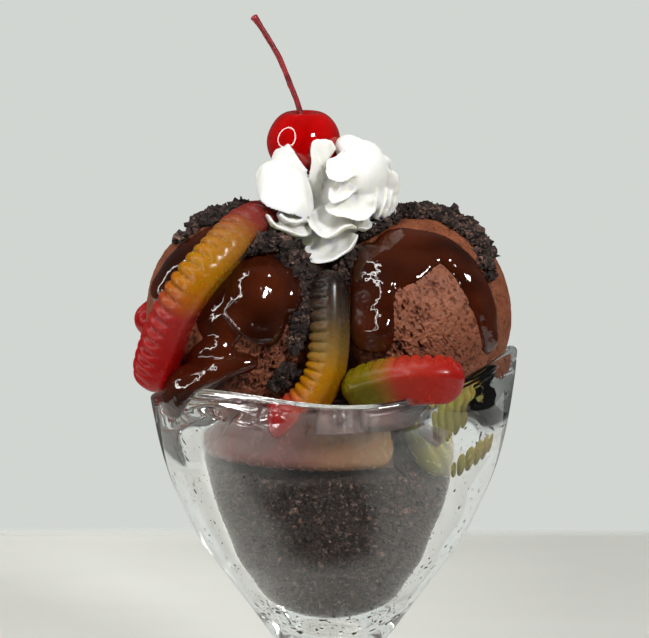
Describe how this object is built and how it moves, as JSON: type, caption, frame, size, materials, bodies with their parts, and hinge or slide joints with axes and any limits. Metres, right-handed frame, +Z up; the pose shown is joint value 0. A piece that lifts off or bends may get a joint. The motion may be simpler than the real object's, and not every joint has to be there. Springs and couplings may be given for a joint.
{
  "type": "ice cream sundae",
  "caption": "Ice cream sundae: chocolate scoops with fudge sauce, cookie crumbs, gummy worms, whipped cream and a stemmed cherry in a clear footed tulip glass.",
  "frame": {"origin": "centre of the glass foot's flat underside", "axes": "+Z up through the glass, -Y towards the side where the sweets and the sauce show, +X to the right seen from there"},
  "size_m": [0.0962, 0.0924, 0.2123],
  "materials": {
    "glass": "clear thick pressed glass, smooth and glossy",
    "cookie_crumb": "dry black-brown cookie crumbs, rough and matte",
    "chocolate_ice_cream": "milk chocolate ice cream, pitted where the scoop tore it, slightly moist",
    "fudge_sauce": "dark fudge sauce, very glossy",
    "gummy_red": "translucent gummy, red fading into amber",
    "gummy_amber": "translucent gummy, amber fading into red",
    "gummy_green": "translucent gummy, olive green fading into yellow",
    "whipped_cream": "whipped cream, soft satin",
    "cherry": "glossy candied cherry",
    "cherry_stem": "dark red stem, satin"
  },
  "bodies": {
    "root": {"glass": "glass", "cookie_crumb_base": "cookie_crumb", "ice_cream_bed": "chocolate_ice_cream", "scoop_left": "chocolate_ice_cream", "scoop_right": "chocolate_ice_cream", "scoop_back": "chocolate_ice_cream", "worm_left": "gummy_red", "worm_left_back": "gummy_red", "worm_middle": "gummy_amber", "worm_right": "gummy_red", "worm_inner_front": "gummy_red", "worm_inner_green": "gummy_green", "whipped_cream": "whipped_cream", "cherry": "cherry", "cherry_stem": "cherry_stem"}
  },
  "joints": []
}
